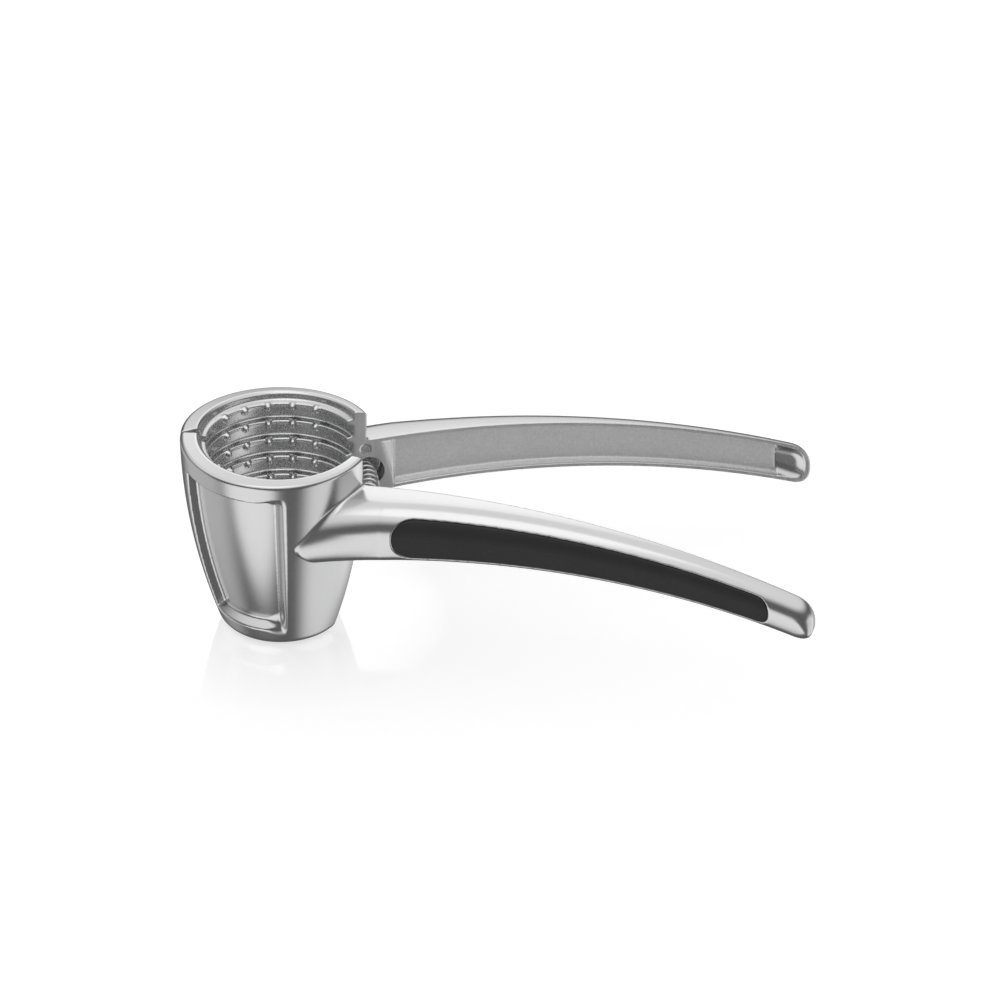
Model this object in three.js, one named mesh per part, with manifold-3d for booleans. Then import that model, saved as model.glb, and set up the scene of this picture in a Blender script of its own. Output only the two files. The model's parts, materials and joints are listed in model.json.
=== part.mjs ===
// Cup nutcracker: two mirrored cast halves, each half a cup and a curved handle, joined by a
// hinge pin in the cup's spine and pushed open by a coil spring.
//
// Frame: +X runs from the cup to the handle tips, +Y from the front half to the rear half, +Z up.
// Each half is shaped in the closed pose, where the two halves meet on the plane y = 0, and is
// then turned about the hinge axis to the open pose, in which the object rests.
import * as THREE from 'three';
import { mergeVertices } from 'three/addons/utils/BufferGeometryUtils.js';
import Module from 'manifold-3d';

const wasm = await Module();
wasm.setup();

// ---- Driving dimensions, in millimetres and degrees -------------------------------------------
const CUP_HEIGHT = 68;
const CUP_RADIUS = 30.9;
const CUP_AXIS_BACK = 6.2;      // the cup's axis lies this far beyond the parting plane
const BELLY_ARC = 205;          // radius of the arc that the cup's side follows
const BASE_ROUND = 2;
const RIM_ROUND = 1;
const WALL_AT_RIM = 5.2;
const WALL_AT_FLOOR = 5.9;
const BORE_SHIFT = 1.1;         // the hollow sits towards the handle, so the spine is thicker
const FLOOR_THICKNESS = 6;

const RING_COUNT = 8;
const RING_PITCH = 6.2;
const RING_FIRST_DEPTH = 3.1;
const RING_REACH = 2.1;
const RING_HALF_ROOT = 1.1;
const RING_HALF_NOSE = 0.4;
const STUDS_PER_RING = 5;
const STUD_SPACING = 19.5;      // degrees between studs on a ring
const STUD_SIZE = 1.1;
const STUD_REACH = 1;

const HINGE_LEAN = 11;          // the hinge axis leans with the cup's side
const HINGE_X = -29.5;          // where the axis crosses the rim's level
const HALF_OPENING = 13.8;
const PIN_RADIUS = 1.25;
const PIN_GAP = 0.3;
const BARREL_RADIUS = 2.8;
const BARREL_GAP = 0.35;
const BARREL_DEPTHS = [9, 24.5, 40.5, 56];

const FACE_GAP = 0.2;           // each half stands back this far from the parting plane
const STOP_GAP = 0.2;           // gap left at the spine's stop faces in the open pose

const HANDLE_START = 4;
const HANDLE_END = 177;
const HANDLE_TOP = { x: 57, depth: 9.1, radius: 330 };
const HANDLE_BOTTOM = { x: 72, depth: 26.6, radius: 340 };
const HANDLE_TIP_LENGTH = 8;
const HANDLE_THICK_AT_TIP = 6;
const HANDLE_THICK_AT_ROOT = 16.4;
const HANDLE_ROOT_X = 39;
const HANDLE_ROOT_SLOPE = 0.15; // how fast the handle thickens over the cup

const CHANNEL_START = 37;
const CHANNEL_DEPTH = 3.4;
const CHANNEL_RIM = 1.2;

const GRIP_START = 42.5;
const GRIP_END = 163.5;
const GRIP_TOP_MARGIN = 2.8;
const GRIP_BOTTOM_MARGIN = 2;
const GRIP_ROUND_LENGTH = 9;
const GRIP_THICKNESS = 1.1;
const GRIP_GAP = 0.3;

const RECESS_DEPTH = 2.4;
const RECESS_FROM = 68;         // degrees round the cup's axis, from +X
const RECESS_TO = 143;
const RECESS_FLOOR_Z = 7.5;
const COLLAR_HEIGHT = 6.4;

const SPRING_X = 30.5;
const SPRING_DEPTH = 21.6;
const POCKET_RADIUS = 5.1;
const POCKET_DEPTH = 6;
const SPRING_RADIUS = 3.1;
const SPRING_WIRE = 0.5;
const SPRING_TURNS = 14;
const SPRING_SEAT_GAP = 0.35;

const FAR = 200;                // larger than the object, for cutting blocks

// How finely the round surfaces are divided.
const CUP_SEGMENTS = 48;
const BORE_SEGMENTS = 36;
const ROD_SEGMENTS = 20;
const POCKET_SEGMENTS = 28;
const BAR_STEPS = 16;
const BAR_SIDES = 20;
const BAR_SQUARENESS = 4;       // 2 is an ellipse, higher is squarer
const CHANNEL_STEPS = 12;
const CHANNEL_SIDES = 12;
const CHANNEL_SQUARENESS = 6;
const CHANNEL_FLOOR_ROUND = 3;  // length over which the channel's depth runs out at its ends
const CHANNEL_EDGE_ROUND = 9;   // length over which the channel's height runs out
const CHANNEL_LEAD = 4;         // how far before the channel's start its height starts to grow
const SPRING_STEPS_PER_TURN = 8;
const SMALLEST_END = 0.05;      // share of the size that a rounded end keeps, so it stays solid
const THINNEST_BAR = 0.5;

// ---- Frames -----------------------------------------------------------------------------------
const lean = THREE.MathUtils.degToRad(HINGE_LEAN);
const hingeAxis = new THREE.Vector3(-Math.sin(lean), 0, Math.cos(lean));
const hingePoint = new THREE.Vector3(HINGE_X, 0, CUP_HEIGHT);

function turnAboutHinge(degrees) {
  const turn = new THREE.Matrix4().makeRotationAxis(hingeAxis, THREE.MathUtils.degToRad(degrees));
  const there = new THREE.Matrix4().makeTranslation(hingePoint);
  const back = new THREE.Matrix4().makeTranslation(hingePoint.clone().negate());
  return there.multiply(turn).multiply(back);
}

// The point of the hinge axis at a depth below the rim.
function hingeAtDepth(depth) {
  return new THREE.Vector3(HINGE_X + depth * Math.tan(lean), 0, CUP_HEIGHT - depth);
}

// ---- Solids -----------------------------------------------------------------------------------
function toSolid(geometry) {
  const bare = geometry.clone();
  bare.deleteAttribute('normal');
  bare.deleteAttribute('uv');
  const merged = mergeVertices(bare, 1e-4);
  const vertProperties = new Float32Array(merged.attributes.position.array);
  const triVerts = new Uint32Array(merged.index.array);
  return new wasm.Manifold(new wasm.Mesh({ numProp: 3, vertProperties, triVerts }));
}

function toGeometry(solid) {
  const mesh = solid.getMesh();
  const geometry = new THREE.BufferGeometry();
  geometry.setAttribute('position', new THREE.BufferAttribute(new Float32Array(mesh.vertProperties), 3));
  geometry.setIndex(new THREE.BufferAttribute(new Uint32Array(mesh.triVerts), 1));
  geometry.computeVertexNormals();
  return geometry;
}

// A solid of revolution about a vertical axis, from [radius, z] pairs that start and end on it.
function revolve(profile, segments, axisX, axisY) {
  const points = profile.map(([radius, z]) => new THREE.Vector2(radius, z));
  const geometry = new THREE.LatheGeometry(points, segments);
  geometry.rotateX(Math.PI / 2);
  geometry.translate(axisX, axisY, 0);
  return toSolid(geometry);
}

function block(minX, maxX, minY, maxY, minZ, maxZ) {
  const geometry = new THREE.BoxGeometry(maxX - minX, maxY - minY, maxZ - minZ);
  geometry.translate((minX + maxX) / 2, (minY + maxY) / 2, (minZ + maxZ) / 2);
  return geometry;
}

// A round rod on the hinge axis between two depths below the rim.
function rodOnHinge(radius, fromDepth, toDepth, segments) {
  const top = hingeAtDepth(fromDepth);
  const bottom = hingeAtDepth(toDepth);
  const geometry = new THREE.CylinderGeometry(radius, radius, top.distanceTo(bottom), segments);
  geometry.rotateX(Math.PI / 2);
  geometry.rotateY(-lean);
  const middle = top.add(bottom).multiplyScalar(0.5);
  geometry.translate(middle.x, middle.y, middle.z);
  return toSolid(geometry);
}

// ---- Cup --------------------------------------------------------------------------------------
function cupRadius(depth) {
  return CUP_RADIUS - BELLY_ARC + Math.sqrt(BELLY_ARC ** 2 - depth ** 2);
}

function wallAt(depth) {
  return THREE.MathUtils.lerp(WALL_AT_RIM, WALL_AT_FLOOR, depth / CUP_HEIGHT);
}

function cupOutside(inset, segments) {
  const sideSteps = 7;
  const baseRadius = cupRadius(CUP_HEIGHT - BASE_ROUND) - inset;
  const profile = [[0, 0], [baseRadius - BASE_ROUND, 0]];
  for (let step = 0; step <= sideSteps; step += 1) {
    const depth = THREE.MathUtils.lerp(CUP_HEIGHT - BASE_ROUND, RIM_ROUND, step / sideSteps);
    profile.push([cupRadius(depth) - inset, CUP_HEIGHT - depth]);
  }
  profile.push([CUP_RADIUS - inset - RIM_ROUND, CUP_HEIGHT], [0, CUP_HEIGHT]);
  return revolve(profile, segments, 0, -CUP_AXIS_BACK);
}

function ringDepth(ring) {
  return RING_FIRST_DEPTH + ring * RING_PITCH;
}

function cupHollow(segments) {
  const floor = CUP_HEIGHT - FLOOR_THICKNESS;
  const boreRadius = (depth) => cupRadius(depth) - wallAt(depth);
  const profile = [[0, FLOOR_THICKNESS], [boreRadius(floor), FLOOR_THICKNESS]];
  for (let ring = RING_COUNT - 1; ring >= 0; ring -= 1) {
    const depth = ringDepth(ring);
    const wall = boreRadius(depth);
    profile.push([wall, CUP_HEIGHT - depth - RING_HALF_ROOT]);
    profile.push([wall - RING_REACH, CUP_HEIGHT - depth - RING_HALF_NOSE]);
    profile.push([wall - RING_REACH, CUP_HEIGHT - depth + RING_HALF_NOSE]);
    profile.push([wall, CUP_HEIGHT - depth + RING_HALF_ROOT]);
  }
  profile.push([boreRadius(0), CUP_HEIGHT + 1], [0, CUP_HEIGHT + 1]);
  return revolve(profile, segments, BORE_SHIFT, -CUP_AXIS_BACK);
}

// Four-sided pointed studs on the nose of each ring.
function ringStuds() {
  const studs = [];
  for (let ring = 0; ring < RING_COUNT; ring += 1) {
    const depth = ringDepth(ring);
    const nose = cupRadius(depth) - wallAt(depth) - RING_REACH;
    for (let stud = 0; stud < STUDS_PER_RING; stud += 1) {
      const angle = 90 + (stud - (STUDS_PER_RING - 1) / 2) * STUD_SPACING;
      const geometry = new THREE.ConeGeometry(STUD_SIZE, 2 * STUD_REACH, 4);
      geometry.rotateZ(Math.PI / 2);
      geometry.translate(nose, 0, CUP_HEIGHT - depth);
      geometry.rotateZ(THREE.MathUtils.degToRad(angle));
      geometry.translate(BORE_SHIFT, -CUP_AXIS_BACK, 0);
      studs.push(toSolid(geometry));
    }
  }
  return studs;
}

// The block that sinks the panel between the collar, the spine and the plain side of the cup.
function panelRecess(segments) {
  const sector = new THREE.Shape();
  sector.absarc(0, 0, 2 * CUP_RADIUS, ...[RECESS_FROM, RECESS_TO].map(THREE.MathUtils.degToRad), false);
  sector.lineTo(0, 0);
  const depth = CUP_HEIGHT - COLLAR_HEIGHT - RECESS_FLOOR_Z;
  const geometry = new THREE.ExtrudeGeometry(sector, { depth, bevelEnabled: false, curveSegments: 8 });
  geometry.translate(0, -CUP_AXIS_BACK, RECESS_FLOOR_Z);
  return toSolid(geometry).subtract(cupOutside(RECESS_DEPTH, segments));
}

// ---- Handle -----------------------------------------------------------------------------------
function arcZ(arc, x) {
  return CUP_HEIGHT - arc.depth - arc.radius + Math.sqrt(arc.radius ** 2 - (x - arc.x) ** 2);
}

function handleThickness(x) {
  if (x < HANDLE_ROOT_X) {
    return HANDLE_THICK_AT_ROOT + (HANDLE_ROOT_X - x) * HANDLE_ROOT_SLOPE;
  }
  const along = (HANDLE_END - x) / (HANDLE_END - HANDLE_ROOT_X);
  return THREE.MathUtils.lerp(HANDLE_THICK_AT_TIP, HANDLE_THICK_AT_ROOT, Math.max(along, 0) ** 1.4);
}

// How much a bar with rounded ends keeps of its height at x.
function endRounding(x, start, end, length) {
  const past = Math.max(start + length - x, x - (end - length), 0) / length;
  return Math.sqrt(Math.max(1 - past ** 2, 0));
}

// A bar along the handle's curve with a rounded-square section. halfSize(x) gives the half
// thickness and half height at x.
function handleBar(start, end, steps, sides, squareness, halfSize) {
  const geometry = new THREE.CylinderGeometry(1, 1, 1, sides, steps);
  const position = geometry.attributes.position;
  const nearZero = 1e-9;
  const corner = (value) => {
    const size = Math.abs(value) < nearZero ? 0 : Math.abs(value) ** (2 / squareness);
    return Math.sign(value) * size;
  };
  for (let i = 0; i < position.count; i += 1) {
    // Steps crowd towards both ends, where the bar rounds off.
    const along = 0.5 - 0.5 * Math.cos(Math.PI * (position.getY(i) + 0.5));
    const x = THREE.MathUtils.lerp(start, end, along);
    const { thick, high } = halfSize(x);
    const middle = (arcZ(HANDLE_TOP, x) + arcZ(HANDLE_BOTTOM, x)) / 2;
    const z = middle + high * corner(position.getX(i));
    position.setXYZ(i, x, thick * corner(position.getZ(i)), z);
  }
  return toSolid(geometry);
}

function halfHeight(x) {
  return (arcZ(HANDLE_TOP, x) - arcZ(HANDLE_BOTTOM, x)) / 2;
}

function handleSolid(inset) {
  const tip = (x) => Math.max(endRounding(x, -FAR, HANDLE_END, HANDLE_TIP_LENGTH), SMALLEST_END);
  return handleBar(HANDLE_START, HANDLE_END, BAR_STEPS, BAR_SIDES, BAR_SQUARENESS, (x) => ({
    thick: Math.max(handleThickness(x) - inset, THINNEST_BAR) * tip(x),
    high: halfHeight(x) * tip(x),
  }));
}

function handleChannel() {
  const end = HANDLE_END - 2 * CHANNEL_RIM;
  const fade = (x, lead, length) => {
    return Math.max(endRounding(x, CHANNEL_START - lead, end, length), SMALLEST_END);
  };
  return handleBar(CHANNEL_START, end, CHANNEL_STEPS, CHANNEL_SIDES, CHANNEL_SQUARENESS, (x) => ({
    thick: CHANNEL_DEPTH * fade(x, 0, CHANNEL_FLOOR_ROUND),
    high: (halfHeight(x) - CHANNEL_RIM) * fade(x, CHANNEL_LEAD, CHANNEL_EDGE_ROUND),
  }));
}

// The outline of the grip inlay, shrunk by a margin, pushed right through the handle.
function gripPrism(margin) {
  const start = GRIP_START + margin;
  const end = GRIP_END - margin;
  const steps = 14;
  const outline = [];
  const edge = (along, side) => {
    const x = THREE.MathUtils.lerp(start, end, 0.5 - 0.5 * Math.cos(Math.PI * along));
    const top = arcZ(HANDLE_TOP, x) - GRIP_TOP_MARGIN - margin;
    const bottom = arcZ(HANDLE_BOTTOM, x) + GRIP_BOTTOM_MARGIN + margin;
    const half = (top - bottom) / 2 * endRounding(x, start, end, GRIP_ROUND_LENGTH);
    return new THREE.Vector2(x, (top + bottom) / 2 + side * half);
  };
  for (let step = 0; step <= steps; step += 1) {
    outline.push(edge(step / steps, -1));
  }
  for (let step = steps - 1; step > 0; step -= 1) {
    outline.push(edge(step / steps, 1));
  }
  const geometry = new THREE.ExtrudeGeometry(new THREE.Shape(outline), { depth: FAR, bevelEnabled: false });
  geometry.rotateX(Math.PI / 2);
  geometry.translate(0, FAR, 0);
  return toSolid(geometry);
}

// ---- One half, shaped in the closed pose on the +Y side ----------------------------------------
function barrelSpan(index) {
  return [BARREL_DEPTHS[index] + BARREL_GAP / 2, BARREL_DEPTHS[index + 1] - BARREL_GAP / 2];
}

// ownBarrels and otherBarrels are the hinge knuckles of this half and of the other one.
function jawSolid(ownBarrels, otherBarrels) {
  const outside = cupOutside(0, CUP_SEGMENTS);
  let jaw = outside.subtract(panelRecess(CUP_SEGMENTS)).add(handleSolid(0));
  jaw = jaw.subtract(cupHollow(BORE_SEGMENTS));
  ringStuds().forEach((stud) => {
    jaw = jaw.add(stud);
  });
  jaw = jaw.subtract(toSolid(block(-FAR, FAR, -FAR, FACE_GAP, -FAR, FAR)));
  const stop = block(-FAR, FAR, -FAR, STOP_GAP, -FAR, FAR);
  stop.applyMatrix4(turnAboutHinge(-HALF_OPENING));
  jaw = jaw.subtract(toSolid(stop));
  otherBarrels.forEach((index) => {
    const [from, to] = [BARREL_DEPTHS[index] - BARREL_GAP / 2, BARREL_DEPTHS[index + 1] + BARREL_GAP / 2];
    jaw = jaw.subtract(rodOnHinge(BARREL_RADIUS + BARREL_GAP, from, to, ROD_SEGMENTS));
  });
  ownBarrels.forEach((index) => {
    jaw = jaw.add(rodOnHinge(BARREL_RADIUS, ...barrelSpan(index), ROD_SEGMENTS).intersect(outside));
  });
  const [pinTop, pinBottom] = [BARREL_DEPTHS[0] - 1, BARREL_DEPTHS[3] + 1];
  jaw = jaw.subtract(rodOnHinge(PIN_RADIUS + PIN_GAP, pinTop, pinBottom, ROD_SEGMENTS));
  jaw = jaw.subtract(springPocket());
  jaw = jaw.subtract(handleChannel());
  return jaw.subtract(gripPrism(0).subtract(handleSolid(GRIP_THICKNESS + GRIP_GAP)));
}

function springPocket() {
  const length = 2 * POCKET_DEPTH;
  const geometry = new THREE.CylinderGeometry(POCKET_RADIUS, POCKET_RADIUS, length, POCKET_SEGMENTS);
  geometry.translate(SPRING_X, 0, CUP_HEIGHT - SPRING_DEPTH);
  return toSolid(geometry);
}

function gripSolid() {
  return gripPrism(GRIP_GAP).intersect(handleSolid(0)).subtract(handleSolid(GRIP_THICKNESS));
}

// Turns a half's solid from the closed pose to the open one. The front half is the mirror image.
function openHalf(solid, front) {
  const geometry = toGeometry(solid);
  if (front) {
    geometry.scale(1, -1, 1);
    const index = geometry.index.array;
    for (let i = 0; i < index.length; i += 3) {
      [index[i], index[i + 1]] = [index[i + 1], index[i]];
    }
  }
  geometry.applyMatrix4(turnAboutHinge(front ? -HALF_OPENING : HALF_OPENING));
  return geometry;
}

// ---- Pin and spring ---------------------------------------------------------------------------
function pinGeometry() {
  return toGeometry(rodOnHinge(PIN_RADIUS, BARREL_DEPTHS[0], BARREL_DEPTHS[3], ROD_SEGMENTS));
}

// The spring's axis is an arc round the hinge, so that it stays in both pockets as they swing.
class ArcHelix extends THREE.Curve {
  constructor(centre, swing, radius, turns) {
    super();
    Object.assign(this, { centre, swing, radius, turns });
  }

  getPoint(t) {
    const matrix = turnAboutHinge(THREE.MathUtils.radToDeg((t - 0.5) * this.swing));
    const phase = 2 * Math.PI * this.turns * t;
    const outward = new THREE.Vector3(Math.cos(phase), 0, Math.sin(phase)).multiplyScalar(this.radius);
    return outward.add(this.centre).applyMatrix4(matrix);
  }
}

function springGeometry() {
  const centre = new THREE.Vector3(SPRING_X, 0, CUP_HEIGHT - SPRING_DEPTH);
  const arm = new THREE.Vector3().crossVectors(hingeAxis, centre.clone().sub(hingePoint)).length();
  const opening = THREE.MathUtils.degToRad(2 * HALF_OPENING);
  const seated = 2 * (POCKET_DEPTH - SPRING_SEAT_GAP - SPRING_WIRE) / arm;
  const path = new ArcHelix(centre, opening + seated, SPRING_RADIUS, SPRING_TURNS);
  const section = new THREE.Shape();
  section.absarc(0, 0, SPRING_WIRE, 0, 2 * Math.PI, false);
  const steps = SPRING_TURNS * SPRING_STEPS_PER_TURN;
  const geometry = new THREE.ExtrudeGeometry(section, { steps, extrudePath: path, curveSegments: 3 });
  return toGeometry(toSolid(geometry));
}

// ---- Materials and assembly -------------------------------------------------------------------
const castAluminium = new THREE.MeshStandardMaterial({ color: 0xb9babb, roughness: 0.38, metalness: 1 });
const steel = new THREE.MeshStandardMaterial({ color: 0xc8c9ca, roughness: 0.25, metalness: 1 });
const blackPlastic = new THREE.MeshStandardMaterial({ color: 0x2a2a2b, roughness: 0.6, metalness: 0 });

const object = new THREE.Group();

function addPiece(name, geometry, material) {
  const mesh = new THREE.Mesh(geometry, material);
  mesh.name = name;
  object.add(mesh);
}

const frontBarrels = [0, 2];
const rearBarrels = [1];
addPiece('rear_jaw', openHalf(jawSolid(rearBarrels, frontBarrels), false), castAluminium);
addPiece('front_jaw', openHalf(jawSolid(frontBarrels, rearBarrels), true), castAluminium);
addPiece('rear_grip', openHalf(gripSolid(), false), blackPlastic);
addPiece('front_grip', openHalf(gripSolid(), true), blackPlastic);
addPiece('hinge_pin', pinGeometry(), steel);
addPiece('return_spring', springGeometry(), steel);

// The origin is the middle of the resting object's box, on the surface that it stands on.
const box = new THREE.Box3().setFromObject(object);
const centre = box.getCenter(new THREE.Vector3());
object.position.set(-centre.x, -centre.y, -box.min.z);

export default object;
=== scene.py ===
"""Cup nutcracker: two mirrored cast halves with black inlays, a hinge pin and a coil spring.

Each half is described by a signed distance field in millimetres, in the closed pose, with the
axis of the cup's outside at x = 0 and the parting plane at y = 0. The field is turned into a fine
mesh, opened about the hinge and placed in the row frame. Only the half on the +Y side is
described: the front half is its mirror image.
"""
import json
import math

import bpy
import numpy as np
import openvdb as vdb
from mathutils import Matrix, Vector


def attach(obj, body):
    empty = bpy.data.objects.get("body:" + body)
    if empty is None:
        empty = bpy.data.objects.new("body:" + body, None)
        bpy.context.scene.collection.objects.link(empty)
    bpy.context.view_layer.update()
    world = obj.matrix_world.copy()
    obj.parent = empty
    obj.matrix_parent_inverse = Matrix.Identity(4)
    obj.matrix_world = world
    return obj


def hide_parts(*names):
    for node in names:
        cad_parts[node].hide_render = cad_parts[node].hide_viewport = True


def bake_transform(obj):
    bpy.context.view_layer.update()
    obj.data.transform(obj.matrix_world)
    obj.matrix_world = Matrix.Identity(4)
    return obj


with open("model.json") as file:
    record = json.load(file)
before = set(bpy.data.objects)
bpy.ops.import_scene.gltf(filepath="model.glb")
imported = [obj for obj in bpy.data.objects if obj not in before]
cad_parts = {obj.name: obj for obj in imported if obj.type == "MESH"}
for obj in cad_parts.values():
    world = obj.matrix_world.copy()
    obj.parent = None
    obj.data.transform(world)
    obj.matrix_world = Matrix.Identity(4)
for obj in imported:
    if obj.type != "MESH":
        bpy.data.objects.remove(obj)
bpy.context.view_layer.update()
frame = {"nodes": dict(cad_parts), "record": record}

# Lengths are in millimetres. A ROUND or FILLET is the width over which two surfaces blend.

# ---- Cup ------------------------------------------------------------------------------------------
HEIGHT = 68.0
CUP_RADIUS = 30.9                       # outside, at the rim
CUP_BACK = 6.2                          # from the parting plane back to a half's own axis
BELLY_ARC = 215.0                       # radius of the side's long arc
WALL_AT_RIM = 5.2
WALL_AT_FLOOR = 5.9
BORE_SHIFT = 1.1                        # the bore sits nearer to the handles than the outside
FLOOR = 6.0
RIM_SLOPE = 0.14
RIM_ROUND = 1.3
FOOT_ROUND = 3.2
FLOOR_ROUND = 4.0
BORE_ROUND = 0.3
MOUTH_RADIUS = 25.7                     # of the 45 degree chamfer at the bore's mouth
MOUTH_Z = 67.8
CONE_SCALE = 0.7                        # turns a 45 degree cone's height error into a distance

RINGS = 8
RING_PITCH = 6.2
RING_FIRST = 3.1                        # depth of the first ring below the rim
RING_REACH = 2.1
RING_ROOT = 1.15                        # half widths of a ring at the wall and at its nose
RING_NOSE = 0.5
RING_FLANK = 0.95                       # cosine of a ring's flank
RING_ROUND = 0.5
RING_FILLET = 0.7
STUDS_EACH_SIDE = 2
STUD_STEP = math.radians(19.5)
STUD_REACH = 1.5
STUD_BASE = 1.3
STUD_TIP = 0.6
STUD_DROP = 0.45                        # a stud sits a little below its ring's middle
STUD_SQUASH = 0.85
STUD_BURIED = 0.6
STUD_TIP_ROUND = 0.5
STUD_ROOT_ROUND = 0.2
STUD_FILLET = 0.3

# ---- Sunk panel on the cup's side: angles are round the cup's axis, from the handle side ----------
PANEL_DEPTH = 3.3
PANEL_SPINE = math.radians(142.8)       # place of the step beside the spine
PANEL_STEP = math.radians(66.0)         # direction that this step faces
PANEL_FADE = (math.radians(66.5), math.radians(75.5))   # the panel sinks to its depth over these
PANEL_RUNOUT = -2.5                     # below zero, so no trace is left past the soft step
PANEL_CRISP = (1.3, 1.55)               # radians over which the panel's edges turn crisp
PANEL_FLOOR_ROUND = 0.7
PANEL_TOP_ROUND = (3.0, 0.8)            # soft and crisp
PANEL_FOOT_ROUND = (3.0, 0.6)
PANEL_EDGE_ROUND = (2.2, 0.5)
COLLAR = 6.4
FOOT_HEIGHT = 7.2
FOOT_BEVEL = 0.75
FOOT_BEVEL_SCALE = 0.8

# ---- Hinge ----------------------------------------------------------------------------------------
LEAN = math.radians(11.0)
HINGE_X = -29.5
HALF_OPENING = math.radians(13.8)
PIN_HOLE = 1.55
PIN_DEPTHS = (8.0, 57.0)
BARREL_RADIUS = 2.8
BARREL_GAP = 0.35
BARREL_DEPTHS = (9.0, 24.5, 40.5, 56.0)
FACE_GAP = 0.2
FACE_ROUND = 0.35

# ---- Handle ---------------------------------------------------------------------------------------
HANDLE_TOP = (57.0, 9.1, 350.0)         # an arc: x of its apex, depth below the rim and radius
HANDLE_BOTTOM = (72.0, 26.6, 328.0)
HANDLE_END = 177.2
TIP_START = 170.6
ROUND_POWER = 2.4                       # of the tip's outline, where 2 is an ellipse
ROOT_X = 39.0
ROOT_THICKNESS = 16.6
ROOT_FLARE = 0.155                      # growth of the thickness towards the cup
TIP_THICKNESS = 6.2
THICKNESS_POWER = 1.5
TOP_DROP = (1.3, 1.7)                   # fall of the top towards its outer edge, at tip and root
TOP_DROP_SPAN = (165.0, 40.0)
TOP_DROP_TAPER = 1.4
TOP_DROP_POWER = 2.6
SLOPE_CENTRE = 64.0                     # apex and radius of the handle's mean arc
SLOPE_RADIUS = 335.0
WIDEST = (5.0, 8.5)                     # the widest line's height over the bottom, nose and root
WIDEST_SPAN = (13.0, 45.0)
BULGE = (0.05, 0.012, 0.02)             # curvature of the outer side at nose, root and tip
BULGE_NOSE_SPAN = (13.0, 40.0)
BULGE_TIP_SPAN = (40.0, 140.0)
TOP_ROUND = (6.0, 7.2, 5.4)             # at nose, root and tip
TOP_ROUND_NOSE_SPAN = (14.0, 48.0)
TOP_ROUND_TIP_SPAN = (60.0, 160.0)
BOTTOM_ROUND = 2.8
ROUND_CHANGE = 2.5                      # half the height over which one rounding becomes the other
NOSE_X = 12.8                           # the handle's nose on the cup is a rounded point
NOSE_Z = 44.8
NOSE_CURVE = 0.09
NOSE_SCALE = 0.6
NOSE_ROUND = 1.2
ARM_FILLET = (0.5, 1.6)                 # where the handle meets the cup, low down and high up
ARM_FILLET_SPAN = (46.0, 54.0)

# ---- Channel in the handle's inner face -----------------------------------------------------------
CHANNEL_START = 38.6
CHANNEL_END = 166.0
CHANNEL_DEPTH = (3.3, 2.7)              # at the root and at the tip
CHANNEL_DEPTH_SPAN = (90.0, 150.0)
CHANNEL_RIM = 1.2
CHANNEL_DRAFT = 0.22
CHANNEL_DRAFT_DEPTH = 6.0
CHANNEL_ROUND = 0.7
CHANNEL_EDGE_ROUND = 0.4
SCOOP_DEPTH = 0.5                       # step down from the channel's floor to the smooth scoop
SCOOP_RISE = 0.2
SCOOP_OVERLAP = 0.6
SCOOP_ROUND = 3.0
SCOOP_STEP_ROUND = 0.5
FACET_X = 34.7                          # the slanted facet between the ground face and the channel
FACET_DEPTH = 10.8
FACET_SLANT = 0.27
FACET_SLOPE = 0.3
FACET_ROUND = 0.3
FACET_OVERLAP = 1.0

# ---- Inlay, spring pocket and ejector mark --------------------------------------------------------
GRIP_START = 43.6
GRIP_END = 163.1
GRIP_ROUND_ROOT = 8.0
GRIP_ROUND_TIP = 4.0
GRIP_TOP = 2.8                          # metal left above and below the inlay
GRIP_BOTTOM = 2.0
GRIP_DEPTH = 1.1
GRIP_CLEARANCE = 0.3
GRIP_LIP_ROUND = 0.55
GRIP_INSET = 0.05
GRIP_SUNK = 0.06
GRIP_EDGE_ROUND = 0.35
GRIP_BACK = 0.1
GRIP_BACK_ROUND = 0.2
POCKET_X = 30.5
POCKET_DEPTH = 21.6                     # below the rim
POCKET_RADIUS = 5.1
POCKET_DEEP = 6.0                       # into the half
POCKET_END_ROUND = 0.8
POCKET_MOUTH_ROUND = 0.5
MARK_X = 29.6
MARK_DEPTH = 13.3
MARK_RADIUS = 1.7
MARK_DEEP = 0.45

# ---- Spring ---------------------------------------------------------------------------------------
SPRING_X = 29.7
SPRING_RADIUS = 2.7
SPRING_WIRE = 0.5
SPRING_TURNS = 14
SPRING_END_CLEARANCE = 0.9
SPRING_CLOSED_TURNS = 0.9               # turns closed up at each end
SPRING_OPENED_TURNS = 1.6               # turns until the full pitch is reached
SPRING_CLOSED_PITCH = 1.02              # in wire diameters
STEPS_PER_TURN = 48
WIRE_SIDES = 14

# ---- Borders between finishes ---------------------------------------------------------------------
BORE_SKIN = -0.35                       # how far behind the bore's wall its finish reaches
BORE_FLOOR_BAND = 1.0
BORE_RIM_BAND = 0.6
CHANNEL_SKIN = -1.4                     # the channel's finish keeps this far inside the handle
CHANNEL_START_BAND = 0.4
CHANNEL_FACE_BAND = 0.5
CHANNEL_FLOOR_BAND = 0.4
GROUND_BAND = 0.12

# ---- Meshing --------------------------------------------------------------------------------------
CELL = 0.34
GRIP_CELL = 0.25
HALF_BOX = ((-31.5, -4.0, -1.2), (178.5, 25.8, 69.9))
GRIP_BOX = ((41.0, 2.0, 28.0), (165.0, 19.0, 60.0))
SLAB = 48                               # grid planes evaluated at a time
FIELD_LIMIT = 4.0
NEWTON_STEPS = 3
GRADIENT_STEP = 0.02
SMALLEST_SLOPE = 0.05
MM = 0.001


# ---- Distance field helpers -----------------------------------------------------------------------
def smooth_max(a, b, k):
    gap = np.maximum(k - np.abs(a - b), 0.0)
    return np.maximum(a, b) + gap * gap / (4.0 * k)


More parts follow.
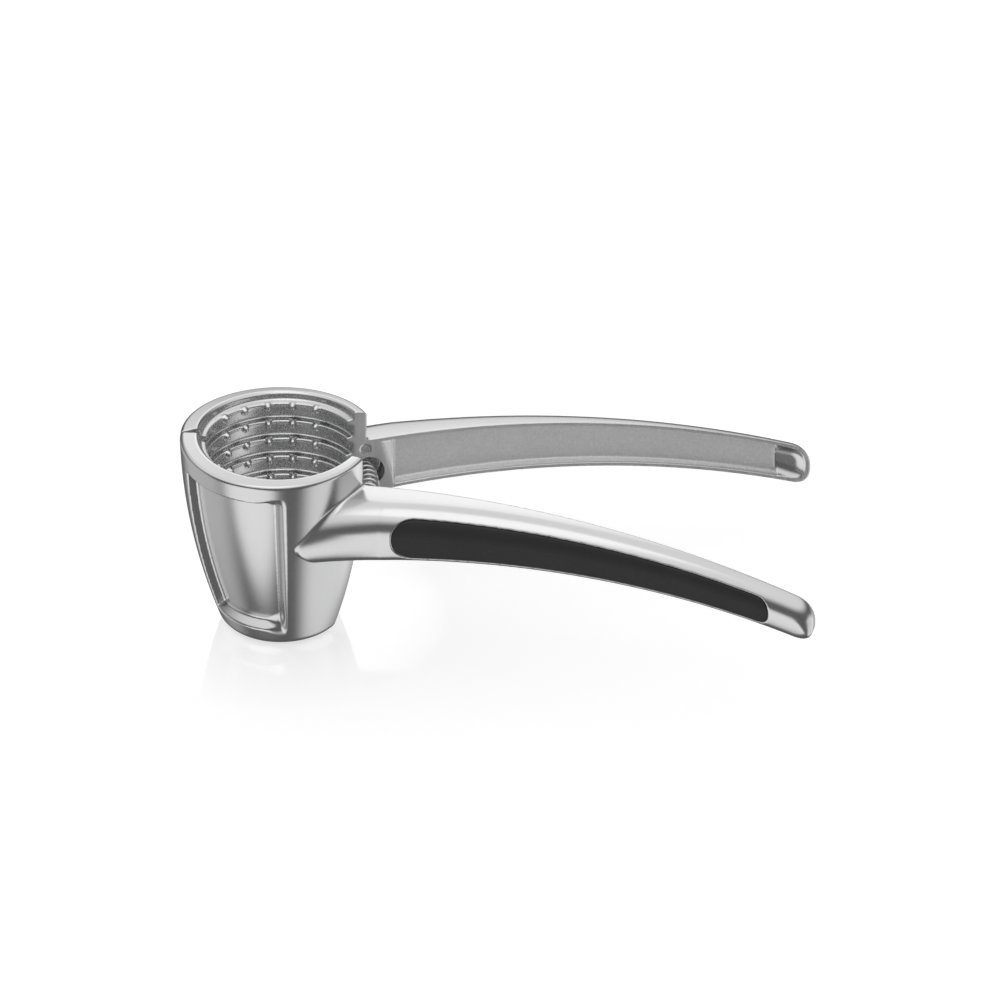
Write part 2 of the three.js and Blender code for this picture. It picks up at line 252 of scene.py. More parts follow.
def smooth_min(a, b, k):
    return -smooth_max(-a, -b, k)


def lerp(a, b, t):
    return a + (b - a) * t


def part_way(span, value):
    """How far a value has gone from a span's start to its end, from 0 to 1."""
    start, end = span
    return np.clip((value - start) / (end - start), 0.0, 1.0)


def ease(low, high, value):
    t = np.clip((value - low) / (high - low), 0.0, 1.0)
    return t * t * (3.0 - 2.0 * t)


# ---- Cup ------------------------------------------------------------------------------------------
def belly(rho, depth):
    """Distance outside the cup's side, which is one long arc from the rim down."""
    drop = np.maximum(depth, 0.0)
    return np.hypot(rho - CUP_RADIUS + BELLY_ARC, drop) - BELLY_ARC


def bore_gap(rho, depth):
    """Distance inwards from the wall of the bore, before its rings."""
    drop = np.maximum(depth, 0.0)
    arc = np.sqrt(np.maximum(BELLY_ARC ** 2 - drop ** 2, 1.0))
    radius = CUP_RADIUS - BELLY_ARC + arc - lerp(WALL_AT_RIM, WALL_AT_FLOOR, depth / HEIGHT)
    return (radius - rho) * arc / BELLY_ARC


def panel(x, y, z, side):
    """The sunk panel between the collar, the spine's step and the plain part of the cup.

    Also gives how crisp its edges are: 0 beside the soft step and 1 further round.
    """
    angle = np.arctan2(y + CUP_BACK, x)
    depth = lerp(PANEL_RUNOUT, PANEL_DEPTH, ease(PANEL_FADE[0], PANEL_FADE[1], angle))
    crisp = ease(PANEL_CRISP[0], PANEL_CRISP[1], angle)
    drop = HEIGHT - z
    radius = CUP_RADIUS - BELLY_ARC + np.sqrt(BELLY_ARC ** 2 - drop ** 2)
    step_x = (x - radius * math.cos(PANEL_SPINE)) * math.cos(PANEL_STEP)
    step_y = (y + CUP_BACK - radius * math.sin(PANEL_SPINE)) * math.sin(PANEL_STEP)
    region = smooth_max(-(side + depth), -(step_x + step_y), PANEL_FLOOR_ROUND)
    region = smooth_max(region, z - (HEIGHT - COLLAR), lerp(*PANEL_TOP_ROUND, crisp))
    bevel = (FOOT_HEIGHT - z - side * FOOT_BEVEL) * FOOT_BEVEL_SCALE
    return smooth_max(region, bevel, lerp(*PANEL_FOOT_ROUND, crisp)), crisp


def ring_teeth(inward, depth):
    """The rings in the bore, and the height within the nearest ring."""
    index = np.clip(np.round((depth - RING_FIRST) / RING_PITCH), 0, RINGS - 1)
    level = depth - RING_FIRST - index * RING_PITCH
    half = lerp(RING_ROOT, RING_NOSE, inward / RING_REACH)
    flanks = (np.abs(level) - half) * RING_FLANK
    return smooth_max(flanks, inward - RING_REACH, RING_ROUND), level


def studs(x, y, inward, level):
    """Round studs that stand out from each ring's nose at even angles."""
    angle = np.arctan2(y + CUP_BACK, x - BORE_SHIFT) - math.pi / 2
    index = np.clip(np.round(angle / STUD_STEP), -STUDS_EACH_SIDE, STUDS_EACH_SIDE)
    away = angle - index * STUD_STEP
    across = np.hypot(x - BORE_SHIFT, y + CUP_BACK) * np.sin(away)
    out = inward - RING_REACH
    radius = lerp(STUD_BASE, STUD_TIP, np.clip(out / STUD_REACH, 0.0, 1.0))
    round_part = np.hypot(across, (level - STUD_DROP) * STUD_SQUASH) - radius
    stud = smooth_max(round_part, out - STUD_REACH, STUD_TIP_ROUND)
    return smooth_max(stud, -STUD_BURIED - out, STUD_ROOT_ROUND)


# ---- Handle ---------------------------------------------------------------------------------------
def arc_z(arc, x):
    apex, depth, radius = arc
    return HEIGHT - depth - radius + np.sqrt(radius ** 2 - (x - apex) ** 2)


def thickness(x):
    """From the parting plane to the handle's outer side."""
    along = np.clip((HANDLE_END - x) / (HANDLE_END - ROOT_X), 0.0, 1.0)
    outer = lerp(TIP_THICKNESS, ROOT_THICKNESS, along ** THICKNESS_POWER)
    return np.where(x < ROOT_X, ROOT_THICKNESS + (ROOT_X - x) * ROOT_FLARE, outer)


def round_end(along, across):
    """Size of a point in an outline whose end is a little fuller than an ellipse."""
    return (along ** ROUND_POWER + np.abs(across) ** ROUND_POWER) ** (1 / ROUND_POWER)


def handle(x, y, z):
    """A solid handle between two arcs, with a rounded outer side and a blunt tip."""
    bottom = arc_z(HANDLE_BOTTOM, x)
    across = np.clip(y, 0.0, 30.0) / thickness(x)
    drop = lerp(*TOP_DROP, part_way(TOP_DROP_SPAN, x) ** TOP_DROP_TAPER)
    top = arc_z(HANDLE_TOP, x) - drop * across ** TOP_DROP_POWER
    middle = (top + bottom) / 2
    half = (top - bottom) / 2
    past = np.maximum(x - TIP_START, 0.0) / (HANDLE_END - TIP_START)
    cosine = 1.0 / np.sqrt(1.0 + ((x - SLOPE_CENTRE) / SLOPE_RADIUS) ** 2)
    profile = (round_end(past, (z - middle) / half) - 1.0) * half * cosine

    widest = lerp(*WIDEST, part_way(WIDEST_SPAN, x))
    bulge = lerp(BULGE[0], BULGE[1], part_way(BULGE_NOSE_SPAN, x))
    bulge = lerp(bulge, BULGE[2], part_way(BULGE_TIP_SPAN, x))
    side = y - thickness(x) + bulge * (z - bottom - widest) ** 2

    top_round = lerp(TOP_ROUND[0], TOP_ROUND[1], part_way(TOP_ROUND_NOSE_SPAN, x))
    top_round = lerp(top_round, TOP_ROUND[2], part_way(TOP_ROUND_TIP_SPAN, x))
    upper = ease(middle - ROUND_CHANGE, middle + ROUND_CHANGE, z)
    return smooth_max(profile, side, lerp(BOTTOM_ROUND, top_round, upper))


def channel(x, y, z):
    """What is cut from the inner face: a channel, a smooth scoop past it and a slanted facet."""
    top, bottom = arc_z(HANDLE_TOP, x), arc_z(HANDLE_BOTTOM, x)
    middle = (top + bottom) / 2
    half = (top - bottom) / 2 - CHANNEL_RIM
    draft = CHANNEL_DRAFT * np.clip(y, 0.0, CHANNEL_DRAFT_DEPTH)
    past = np.maximum(x - TIP_START, 0.0) / (HANDLE_END - CHANNEL_RIM - TIP_START)
    rail = (round_end(past, (z - middle) / half) - 1.0) * half + draft
    floor = y - lerp(*CHANNEL_DEPTH, ease(CHANNEL_DEPTH_SPAN[0], CHANNEL_DEPTH_SPAN[1], x))

    trough = smooth_max(floor, rail, CHANNEL_ROUND)
    trough = smooth_max(trough, CHANNEL_START - x + draft, CHANNEL_ROUND)
    trough = np.maximum(trough, x - CHANNEL_END)

    scoop = floor - SCOOP_DEPTH + SCOOP_RISE * np.maximum(x - CHANNEL_END, 0.0)
    scoop = smooth_max(scoop, rail + draft, SCOOP_ROUND)
    scoop = smooth_max(scoop, CHANNEL_END - SCOOP_OVERLAP - x, SCOOP_STEP_ROUND)

    slanted = (x - FACET_X) - (HEIGHT - FACET_DEPTH - z) * FACET_SLANT
    facet = smooth_max(y - FACE_GAP - FACET_SLOPE * slanted, rail, FACET_ROUND)
    facet = np.maximum(np.maximum(facet, -slanted), x - CHANNEL_START - FACET_OVERLAP)
    return smooth_min(smooth_min(trough, scoop, CHANNEL_EDGE_ROUND), facet, FACET_ROUND)


def grip_outline(x, z):
    """The inlay's outline on the handle's outer side, round at both ends."""
    top = arc_z(HANDLE_TOP, x) - GRIP_TOP
    bottom = arc_z(HANDLE_BOTTOM, x) + GRIP_BOTTOM
    middle = (top + bottom) / 2
    half = (top - bottom) / 2
    start = np.maximum(GRIP_START + GRIP_ROUND_ROOT - x, 0.0) / GRIP_ROUND_ROOT
    end = np.maximum(x - GRIP_END + GRIP_ROUND_TIP, 0.0) / GRIP_ROUND_TIP
    return (round_end(np.maximum(start, end), (z - middle) / half) - 1.0) * half


# ---- Halves ---------------------------------------------------------------------------------------
def about_hinge(x, z):
    """Offset square to the leaning axis in the plane y = 0, and depth below the rim along it."""
    across = math.cos(LEAN) * (x - HINGE_X) + math.sin(LEAN) * (z - HEIGHT)
    along = math.sin(LEAN) * (x - HINGE_X) - math.cos(LEAN) * (z - HEIGHT)
    return across, along * math.cos(LEAN)


def barrel(across, y, depth, index, radius, gap):
    """One of the three hinge barrels, shortened by the gap at each end."""
    low, high = BARREL_DEPTHS[index] + gap, BARREL_DEPTHS[index + 1] - gap
    return np.maximum(np.hypot(across, y) - radius, np.maximum(low - depth, depth - high))


def outer_shell(x, y, z, side):
    """The cup's outside with its sunk panel."""
    rho = np.hypot(x, y + CUP_BACK)
    rim = z - HEIGHT - RIM_SLOPE * (CUP_RADIUS - rho)
    cup = smooth_max(smooth_max(side, rim, RIM_ROUND), -z, FOOT_ROUND)
    sunk, crisp = panel(x, y, z, side)
    return smooth_max(cup, -sunk, lerp(*PANEL_EDGE_ROUND, crisp))


def bore_hollow(x, y, z):
    """The space inside the cup, with the rings and studs left standing."""
    depth = HEIGHT - z
    rho = np.hypot(x - BORE_SHIFT, y + CUP_BACK)
    inward = bore_gap(rho, depth)
    hollow = smooth_max(-inward, FLOOR - z, FLOOR_ROUND)
    hollow = np.minimum(hollow, (rho - MOUTH_RADIUS - (z - MOUTH_Z)) * CONE_SCALE)
    teeth, level = ring_teeth(inward, depth)
    teeth = smooth_min(teeth, studs(x, y, inward, level), STUD_FILLET)
    return smooth_max(hollow, -teeth, RING_FILLET)


def half_field(x, y, z, own, other):
    """One half: own and other are the hinge barrels that it carries and makes room for."""
    side = belly(np.hypot(x, y + CUP_BACK), HEIGHT - z)
    arm = handle(x, y, z)
    nose = NOSE_X + NOSE_CURVE * (z - NOSE_Z) ** 2
    arm = smooth_max(arm, (nose - x) * NOSE_SCALE, NOSE_ROUND)
    fillet = lerp(*ARM_FILLET, ease(ARM_FILLET_SPAN[0], ARM_FILLET_SPAN[1], z))
    body = smooth_min(outer_shell(x, y, z, side), arm, fillet)
    body = smooth_max(body, -bore_hollow(x, y, z), BORE_ROUND)

    groove = np.maximum(grip_outline(x, z), -(arm + GRIP_DEPTH + GRIP_CLEARANCE))
    body = smooth_max(body, -groove, GRIP_LIP_ROUND)
    body = smooth_max(body, -channel(x, y, z), CHANNEL_EDGE_ROUND)
    pocket = np.hypot(x - POCKET_X, z - HEIGHT + POCKET_DEPTH) - POCKET_RADIUS
    pocket = smooth_max(pocket, y - POCKET_DEEP, POCKET_END_ROUND)
    body = smooth_max(body, -pocket, POCKET_MOUTH_ROUND)
    mark = np.hypot(x - MARK_X, z - HEIGHT + MARK_DEPTH) - MARK_RADIUS
    body = np.maximum(body, -np.maximum(mark, y - MARK_DEEP))

    across, axis_depth = about_hinge(x, z)
    body = smooth_max(body, FACE_GAP - y, FACE_ROUND)
    opened = y * math.cos(HALF_OPENING) + across * math.sin(HALF_OPENING)
    body = smooth_max(body, FACE_GAP - opened, FACE_ROUND)
    for index in other:
        slot = barrel(across, y, axis_depth, index, BARREL_RADIUS + BARREL_GAP, -BARREL_GAP / 2)
        body = np.maximum(body, -slot)
    for index in own:
        knuckle = barrel(across, y, axis_depth, index, BARREL_RADIUS, BARREL_GAP / 2)
        body = np.minimum(body, np.maximum(knuckle, side))
    ends = np.maximum(PIN_DEPTHS[0] - axis_depth, axis_depth - PIN_DEPTHS[1])
    hole = np.maximum(np.hypot(across, y) - PIN_HOLE, ends)
    return np.maximum(body, -hole)


def grip_field(x, y, z):
    """The inlay, just below the handle's outer side."""
    arm = handle(x, y, z)
    outline = grip_outline(x, z) + GRIP_INSET
    face = smooth_max(outline, arm + GRIP_SUNK, GRIP_EDGE_ROUND)
    return smooth_max(face, -(arm + GRIP_DEPTH + GRIP_BACK), GRIP_BACK_ROUND)


# ---- Meshes ---------------------------------------------------------------------------------------
def gradient(field, points):
    columns = []
    for axis in range(3):
        ahead, behind = points.copy(), points.copy()
        ahead[:, axis] += GRADIENT_STEP
        behind[:, axis] -= GRADIENT_STEP
        columns.append((field(*ahead.T) - field(*behind.T)) / (2 * GRADIENT_STEP))
    return np.stack(columns, axis=1)


def polygonise(field, box, cell):
    """Quads on the field's surface, with each point moved onto it by Newton steps."""
    low, high = box
    counts = [int(math.ceil((b - a) / cell)) + 1 for a, b in zip(low, high)]
    axes = [a + cell * np.arange(n, dtype=np.float32) for a, n in zip(low, counts)]
    values = np.empty(counts, dtype=np.float32)
    for start in range(0, counts[0], SLAB):
        x, y, z = np.meshgrid(axes[0][start:start + SLAB], axes[1], axes[2], indexing="ij")
        values[start:start + SLAB] = field(x, y, z)
    grid = vdb.FloatGrid(background=FIELD_LIMIT)
    grid.copyFromArray(np.clip(values, -FIELD_LIMIT, FIELD_LIMIT))
    points, _, quads = grid.convertToPolygons(isovalue=0.0, adaptivity=0.0)
    points = points.astype(np.float64) * cell + np.array(low)
    for _ in range(NEWTON_STEPS):
        slope = gradient(field, points)
        size = np.maximum((slope ** 2).sum(axis=1), SMALLEST_SLOPE)
        move = slope * (field(*points.T) / size)[:, None]
        length = np.maximum(np.linalg.norm(move, axis=1, keepdims=True), 1e-9)
        points -= move * np.minimum(1.0, 0.5 * cell / length)
    return points, quads[:, ::-1]


def build_mesh(name, points, faces, slots, materials):
    """A smooth-shaded object from points in millimetres and one material slot for each face."""
    sides = faces.shape[1]
    mesh = bpy.data.meshes.new(name)
    mesh.vertices.add(len(points))
    mesh.vertices.foreach_set("co", (points * MM).astype(np.float32).ravel())
    mesh.loops.add(faces.size)
    mesh.loops.foreach_set("vertex_index", faces.astype(np.int32).ravel())
    mesh.polygons.add(len(faces))
    mesh.polygons.foreach_set("loop_start", np.arange(0, faces.size, sides, dtype=np.int32))
    for material in materials:
        mesh.materials.append(material)
    mesh.polygons.foreach_set("material_index", slots.astype(np.int32))
    mesh.update(calc_edges=True)
    mesh.validate()
    mesh.shade_smooth()
    obj = bpy.data.objects.new(name, mesh)
    bpy.context.scene.collection.objects.link(obj)
    return obj


HINGE_AXIS = np.array([-math.sin(LEAN), 0.0, math.cos(LEAN)])
HINGE_POINT = np.array([HINGE_X, 0.0, HEIGHT])
hinge = frame["record"]["behaviour"]["joints"][0]
ROW_SHIFT = np.array(Vector(hinge["pos_m"])) / MM - HINGE_POINT


def to_row(points, front):
    """From the closed pose on the +Y side to the open pose in the row frame, in millimetres."""
    points = points * np.array([1.0, -1.0 if front else 1.0, 1.0])
    angle = -HALF_OPENING if front else HALF_OPENING
    turn = np.array(Matrix.Rotation(angle, 3, Vector(HINGE_AXIS)))
    return (points - HINGE_POINT) @ turn.T + HINGE_POINT + ROW_SHIFT


# ---- Materials ------------------------------------------------------------------------------------
BUMP_DISTANCE = 0.00005                 # metres
BROAD_SCALE = 45.0                      # of the slow tone change over a piece, per metre
BROAD_DETAIL = 3.0
PLASTIC_TONES = ((0.012, 0.012, 0.012), (0.019, 0.019, 0.019))
PLASTIC_ROUGHNESS = (0.5, 0.66)
PLASTIC_GRAIN = 2600.0
PLASTIC_BROAD_SCALE = 60.0
PLASTIC_BUMP = (0.25, 0.00004)          # strength, and distance in metres


def new_material(name):
    material = bpy.data.materials.new(name)
    material.use_nodes = True
    nodes = material.node_tree.nodes
    return material, nodes, material.node_tree.links, nodes["Principled BSDF"]


def noise(nodes, links, coordinates, scale, detail=2.0, stretch=None):
    texture = nodes.new("ShaderNodeTexNoise")
    texture.inputs["Scale"].default_value = scale
    texture.inputs["Detail"].default_value = detail
    source = coordinates.outputs["Object"]
    if stretch:
        mapping = nodes.new("ShaderNodeMapping")
        mapping.inputs["Scale"].default_value = stretch
        links.new(source, mapping.inputs["Vector"])
        source = mapping.outputs["Vector"]
    links.new(source, texture.inputs["Vector"])
    return texture.outputs["Fac"]


def ramp(nodes, links, source, low, high, start=0.3, end=0.7):
    node = nodes.new("ShaderNodeMapRange")
    node.inputs["From Min"].default_value = start
    node.inputs["From Max"].default_value = end
    node.inputs["To Min"].default_value = low
    node.inputs["To Max"].default_value = high
    links.new(source, node.inputs["Value"])
    return node.outputs["Result"]


def grey_mix(nodes, links, source, dark, light):
    node = nodes.new("ShaderNodeMix")
    node.data_type = "RGBA"
    node.inputs["A"].default_value = (*dark, 1.0)
    node.inputs["B"].default_value = (*light, 1.0)
    links.new(source, node.inputs["Factor"])
    return node.outputs["Result"]


def add_bump(nodes, links, source, strength, distance, shader):
    bump = nodes.new("ShaderNodeBump")
    bump.inputs["Strength"].default_value = strength
    bump.inputs["Distance"].default_value = distance
    links.new(source, bump.inputs["Height"])
    links.new(bump.outputs["Normal"], shader.inputs["Normal"])


def metal(name, tones, roughness, grain, grain_strength, stretch=None, speckled=False):
    """Metal with a fine grain in its roughness and bump, and a slow or speckled tone change."""
    material, nodes, links, shader = new_material(name)
    shader.inputs["Metallic"].default_value = 1.0
    coordinates = nodes.new("ShaderNodeTexCoord")
    broad = noise(nodes, links, coordinates, BROAD_SCALE, BROAD_DETAIL)
    fine = noise(nodes, links, coordinates, grain, 3.0, stretch)
    tone = fine if speckled else broad
    links.new(grey_mix(nodes, links, tone, *tones), shader.inputs["Base Color"])
    links.new(ramp(nodes, links, fine, *roughness), shader.inputs["Roughness"])
    add_bump(nodes, links, fine, grain_strength, BUMP_DISTANCE, shader)
    return material


def grip_plastic():
    """Matt black plastic with a fine moulded grain."""
    material, nodes, links, shader = new_material("grip_plastic")
    coordinates = nodes.new("ShaderNodeTexCoord")
    grain = noise(nodes, links, coordinates, PLASTIC_GRAIN)
    broad = noise(nodes, links, coordinates, PLASTIC_BROAD_SCALE, BROAD_DETAIL)
    links.new(grey_mix(nodes, links, broad, *PLASTIC_TONES), shader.inputs["Base Color"])
    links.new(ramp(nodes, links, grain, *PLASTIC_ROUGHNESS), shader.inputs["Roughness"])
    add_bump(nodes, links, grain, *PLASTIC_BUMP, shader)
    return material


# Each metal's darkest and lightest tone, its roughness range, and its grain's scale and strength.
satin = metal("satin_cast", ((0.64, 0.64, 0.645), (0.70, 0.70, 0.705)), (0.19, 0.25), 2600.0, 0.012)
bore = metal("bore_cast", ((0.66, 0.66, 0.665), (0.76, 0.76, 0.765)), (0.22, 0.30), 1500.0, 0.02)
ground = metal("ground_face", ((0.62, 0.62, 0.625), (0.84, 0.84, 0.845)), (0.36, 0.52), 2400.0, 0.5,
               stretch=(1.0, 1.0, 0.05), speckled=True)
sand = metal("channel_cast", ((0.72, 0.72, 0.725), (1.0, 1.0, 1.0)), (0.50, 0.70), 1300.0, 0.7,
             speckled=True)
steel = metal("steel", ((0.55, 0.55, 0.55), (0.70, 0.70, 0.70)), (0.16, 0.26), 900.0, 0.1)
plastic = grip_plastic()

SATIN, BORE, GROUND, SAND = range(4)


def half_slots(points, faces):
    """Material of each face of a half: satin, bore, ground parting face or channel floor."""
    x, y, z = points[faces].mean(axis=1).T
    slots = np.full(len(faces), SATIN, dtype=np.int32)
    inward = bore_gap(np.hypot(x - BORE_SHIFT, y + CUP_BACK), HEIGHT - z)
    slots[(inward > BORE_SKIN) & (z > FLOOR - BORE_FLOOR_BAND) & (z < HEIGHT - BORE_RIM_BAND)] = BORE
    sunk = (y > FACE_GAP + CHANNEL_FACE_BAND) & (y < CHANNEL_DEPTH[0] + CHANNEL_FLOOR_BAND)
    along = (x > CHANNEL_START - CHANNEL_START_BAND) & (x < CHANNEL_END)
    slots[(handle(x, y, z) < CHANNEL_SKIN) & sunk & along] = SAND
    slots[(y < FACE_GAP + GROUND_BAND) & (x > 0.0)] = GROUND
    return slots


# ---- Pieces ---------------------------------------------------------------------------------------
def add_half(name, front, own, other, node, body):
    points, faces = polygonise(
        lambda x, y, z: half_field(x, y, z, own, other), HALF_BOX, CELL)
    slots = half_slots(points, faces)
    if front:
        faces = faces[:, ::-1]
    piece = build_mesh(name, to_row(points, front), faces, slots, [satin, bore, ground, sand])
    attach(piece, body)
    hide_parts(node)


def add_grip(name, front, node, body):
    points, faces = polygonise(grip_field, GRIP_BOX, GRIP_CELL)
    if front:
        faces = faces[:, ::-1]
    piece = build_mesh(name, to_row(points, front), faces, np.zeros(len(faces)), [plastic])
    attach(piece, body)
    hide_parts(node)


def spring_angles(t, arm):
    """Angle about the hinge along the spring, with the turns closed up at both ends."""
    swing = 2 * HALF_OPENING + 2 * (POCKET_DEEP - SPRING_END_CLEARANCE) / arm
    closed = 2 * SPRING_WIRE / arm * SPRING_CLOSED_PITCH
    stops = [0.0, SPRING_CLOSED_TURNS, SPRING_OPENED_TURNS, SPRING_TURNS - SPRING_OPENED_TURNS,
             SPRING_TURNS - SPRING_CLOSED_TURNS, SPRING_TURNS]
    pitch = np.interp(t * SPRING_TURNS, stops, [0.0, 0.0, 1.0, 1.0, 0.0, 0.0])
    travel = np.concatenate([[0.0], np.cumsum((pitch[1:] + pitch[:-1]) / 2)]) * (t[1] - t[0])
    base = closed * SPRING_TURNS * t
    return base + (swing - base[-1]) * travel / travel[-1] - swing / 2


def about_axis(arms, angles):
    """Arms from the hinge turned about its axis."""
    cosine, sine = np.cos(angles)[:, None], np.sin(angles)[:, None]
    along = (arms @ HINGE_AXIS)[:, None]
    return arms * cosine + np.cross(HINGE_AXIS, arms) * sine + HINGE_AXIS * along * (1 - cosine)


def wire_faces(path_length):
    """Quads of a round wire along a path, with a fan of quads closing each end."""
    index = np.arange(path_length - 1)[:, None] * WIRE_SIDES
    k = np.arange(WIRE_SIDES)[None, :]
    following = (k + 1) % WIRE_SIDES
    faces = np.stack([index + k, index + following, index + WIRE_SIDES + following,
                      index + WIRE_SIDES + k], axis=2)
    start_cap = path_length * WIRE_SIDES
    end_cap = start_cap + 1
    last = (path_length - 1) * WIRE_SIDES
    caps = []
    for k in range(0, WIRE_SIDES, 2):
        caps.append([start_cap, (k + 2) % WIRE_SIDES, k + 1, k])
        caps.append([end_cap, last + k, last + k + 1, last + (k + 2) % WIRE_SIDES])
    return np.vstack([faces.reshape(-1, 4), caps])


def add_spring():
    """A compression spring along an arc round the hinge, with its end turns closed up."""
    centre = np.array([SPRING_X, 0.0, HEIGHT - POCKET_DEPTH])
    arm = centre - HINGE_POINT
    t = np.linspace(0.0, 1.0, SPRING_TURNS * STEPS_PER_TURN + 1)
    angles = spring_angles(t, np.linalg.norm(np.cross(HINGE_AXIS, arm)))
    phase = 2 * math.pi * SPRING_TURNS * t
    coil = SPRING_RADIUS * np.stack([np.cos(phase), 0 * phase, np.sin(phase)], axis=1)
    path = about_axis(arm + coil, angles) + HINGE_POINT
    spine = about_axis(np.tile(arm, (len(t), 1)), angles) + HINGE_POINT

    tangent = np.gradient(path, axis=0)
    tangent /= np.linalg.norm(tangent, axis=1, keepdims=True)
    outward = path - spine
    outward -= tangent * (outward * tangent).sum(axis=1, keepdims=True)
    outward /= np.linalg.norm(outward, axis=1, keepdims=True)
    across = np.cross(tangent, outward)
    rings = []
    for k in range(WIRE_SIDES):
        angle = 2 * math.pi * k / WIRE_SIDES
        rings.append(path + SPRING_WIRE * (outward * math.cos(angle) + across * math.sin(angle)))
    points = np.stack(rings, axis=1).reshape(-1, 3)
    points = np.vstack([points, path[0], path[-1]])
    faces = wire_faces(len(path))

    piece = build_mesh("spring_fine", points + ROW_SHIFT, faces, np.zeros(len(faces)), [steel])
    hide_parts("return_spring")
    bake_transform(piece)


add_half("rear_half_cast", False, [1], [0, 2], "rear_jaw", "rear_half")
add_half("front_half_cast", True, [0, 2], [1], "front_jaw", "front_half")
add_grip("rear_inlay", False, "rear_grip", "rear_half")
add_grip("front_inlay", True, "front_grip", "front_half")
add_spring()
for material_slot in frame["nodes"]["hinge_pin"].material_slots:
    material_slot.material = steel


# ---- Floor, light and camera ----------------------------------------------------------------------
# Soft patches of studio light: azimuth from the front towards +X and elevation of the centre,
# the angles at which the patch is full and gone, in degrees, and its strength.
STUDIO_BASE = 0.13
STUDIO_PATCHES = (
    (0.0, 90.0, 40.0, 72.0, 0.8),
    (180.0, 26.0, 10.0, 25.0, 0.8),
    (-32.0, -34.0, 20.0, 32.0, 0.92),
    (82.0, -34.0, 26.0, 44.0, 0.76),
    (-105.0, -20.0, 20.0, 45.0, 0.45),
    (135.0, -20.0, 14.0, 36.0, 0.4),
)

SOFTBOX_PLACE = (-0.2, -0.3, 1.6)       # metres
SOFTBOX_SIZE = 1.0
SOFTBOX_POWER = 1.5

FLOOR_REACH = 6.0                       # metres
FLOOR_GLOW = 0.58
FLOOR_POLISH = (0.8, 0.0)               # at the cup and away from it
FLOOR_POLISH_SPAN = (0.018, 0.055)      # metres from the cup's axis

CAMERA_AZIMUTH = math.radians(1.46)
CAMERA_ELEVATION = math.radians(31.311)
CAMERA_DISTANCE = 2000.0
CAMERA_RIGHT = 71.376                   # offsets of the picture's centre from the rim's
CAMERA_DOWN = 21.28
CAMERA_LENS = 226.73
CAMERA_SENSOR = 36.0


def add_floor():
    """A white floor, polished near the cup, that reflections in the metal don't show."""
    mesh = bpy.data.meshes.new("floor")
    reach = FLOOR_REACH
    corners = [(-reach, -reach, 0.0), (reach, -reach, 0.0), (reach, reach, 0.0), (-reach, reach, 0.0)]
    mesh.from_pydata(corners, [], [(0, 1, 2, 3)])
    material, nodes, links, shader = new_material("floor_white")
    shader.inputs["Base Color"].default_value = (0.6, 0.6, 0.6, 1.0)
    shader.inputs["Roughness"].default_value = 0.08
    shader.inputs["IOR"].default_value = 1.8
    coordinates = nodes.new("ShaderNodeTexCoord")
    distance = nodes.new("ShaderNodeVectorMath")
    distance.operation = "DISTANCE"
    distance.inputs[1].default_value = (ROW_SHIFT[0] * MM, 0.0, 0.0)
    links.new(coordinates.outputs["Object"], distance.inputs[0])
    polish = ramp(nodes, links, distance.outputs["Value"], *FLOOR_POLISH, *FLOOR_POLISH_SPAN)
    links.new(polish, shader.inputs["Specular IOR Level"])
    shader.inputs["Emission Color"].default_value = (1.0, 1.0, 1.0, 1.0)
    shader.inputs["Emission Strength"].default_value = FLOOR_GLOW
    mesh.materials.append(material)
    floor = bpy.data.objects.new("floor", mesh)
    bpy.context.scene.collection.objects.link(floor)
    floor.visible_glossy = False


def add_softbox():
    """One large square light above and in front, aimed at the origin."""
    light = bpy.data.lights.new("top_softbox", "AREA")
    light.shape = "RECTANGLE"
    light.size = SOFTBOX_SIZE
    light.size_y = SOFTBOX_SIZE
    light.energy = SOFTBOX_POWER
    lamp = bpy.data.objects.new("top_softbox", light)
    lamp.location = SOFTBOX_PLACE
    lamp.rotation_euler = (-lamp.location).to_track_quat("-Z", "Y").to_euler()
    bpy.context.scene.collection.objects.link(lamp)


def studio_patch(nodes, links, direction, azimuth, elevation, inner, outer, strength):
    """Light that is full within an inner angle of a direction and gone past an outer one."""
    a, e = math.radians(azimuth), math.radians(elevation)
    dot = nodes.new("ShaderNodeVectorMath")
    dot.operation = "DOT_PRODUCT"
    dot.inputs[1].default_value = (math.sin(a) * math.cos(e), -math.cos(a) * math.cos(e), math.sin(e))
    links.new(direction, dot.inputs[0])
    patch = nodes.new("ShaderNodeMapRange")
    patch.interpolation_type = "SMOOTHSTEP"
    patch.inputs["From Min"].default_value = math.cos(math.radians(outer))
    patch.inputs["From Max"].default_value = math.cos(math.radians(inner))
    patch.inputs["To Max"].default_value = strength
    links.new(dot.outputs["Value"], patch.inputs["Value"])
    return patch.outputs["Result"]


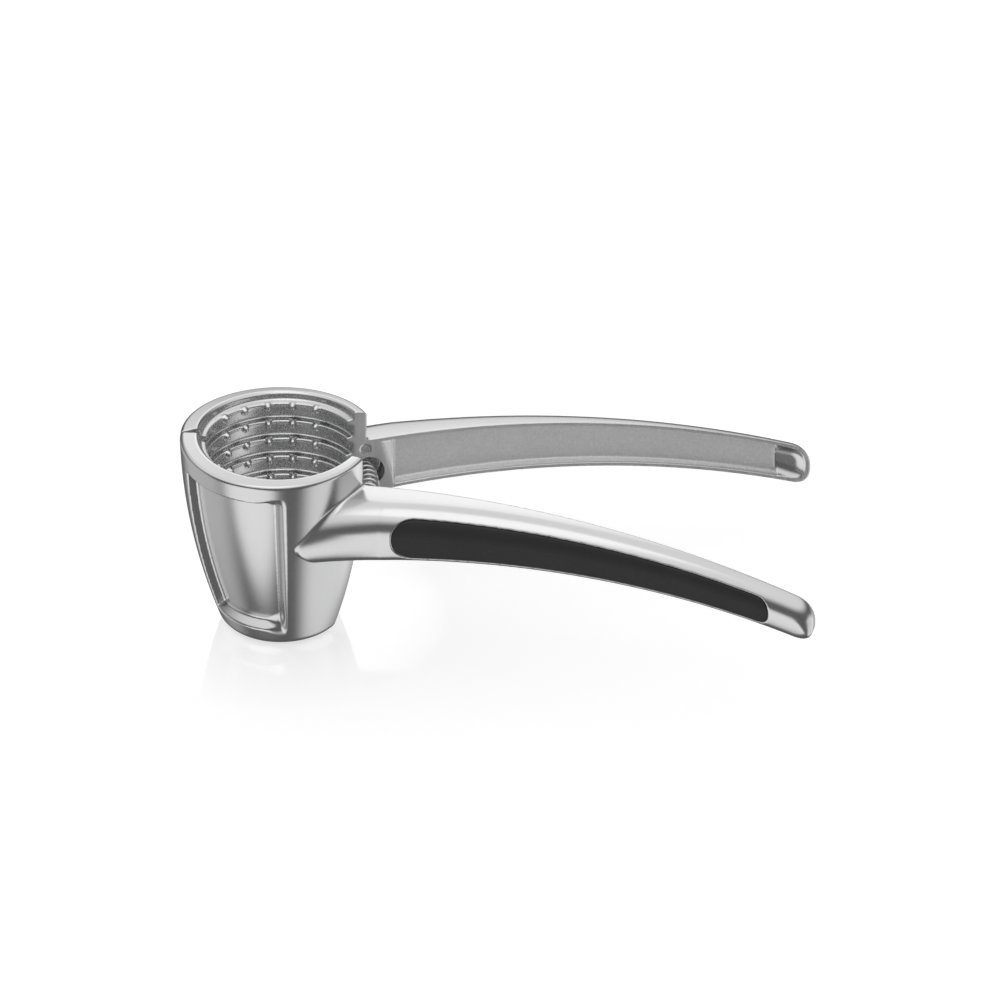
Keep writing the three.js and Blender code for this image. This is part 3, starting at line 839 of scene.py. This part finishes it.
def add_world():
    """A studio seen only as soft patches of light, by direction, with a plain white backdrop."""
    world = bpy.data.worlds.new("studio")
    bpy.context.scene.world = world
    world.use_nodes = True
    world.cycles.sampling_method = "NONE"
    nodes, links = world.node_tree.nodes, world.node_tree.links
    direction = nodes.new("ShaderNodeTexCoord").outputs["Generated"]
    total = None
    for settings in STUDIO_PATCHES:
        add = nodes.new("ShaderNodeMath")
        add.operation = "ADD"
        links.new(studio_patch(nodes, links, direction, *settings), add.inputs[0])
        add.inputs[1].default_value = STUDIO_BASE
        if total:
            links.new(total, add.inputs[1])
        total = add.outputs["Value"]
    path = nodes.new("ShaderNodeLightPath")
    choose = nodes.new("ShaderNodeMix")
    links.new(path.outputs["Is Camera Ray"], choose.inputs["Factor"])
    links.new(total, choose.inputs["A"])
    choose.inputs["B"].default_value = 1.0
    links.new(choose.outputs["Result"], nodes["Background"].inputs["Strength"])
    nodes["Background"].inputs["Color"].default_value = (1.0, 1.0, 1.0, 1.0)


def add_camera():
    """A long lens that looks down on the object from the front."""
    right = Vector((math.cos(CAMERA_AZIMUTH), math.sin(CAMERA_AZIMUTH), 0.0))
    level = math.cos(CAMERA_ELEVATION)
    back = Vector((math.sin(CAMERA_AZIMUTH) * level, -math.cos(CAMERA_AZIMUTH) * level,
                   math.sin(CAMERA_ELEVATION)))
    up = back.cross(right)
    place = right * CAMERA_RIGHT - up * CAMERA_DOWN + back * CAMERA_DISTANCE
    place = place + Vector((0.0, 0.0, HEIGHT)) + Vector(ROW_SHIFT)
    data = bpy.data.cameras.new("camera")
    data.sensor_width = CAMERA_SENSOR
    data.lens = CAMERA_LENS
    data.clip_end = 100.0
    camera = bpy.data.objects.new("camera", data)
    camera.matrix_world = Matrix((
        (right.x, up.x, back.x, place.x * MM),
        (right.y, up.y, back.y, place.y * MM),
        (right.z, up.z, back.z, place.z * MM),
        (0.0, 0.0, 0.0, 1.0)))
    bpy.context.scene.collection.objects.link(camera)
    bpy.context.scene.camera = camera


add_floor()
add_world()
add_softbox()
bpy.context.scene.view_settings.view_transform = "Standard"
add_camera()
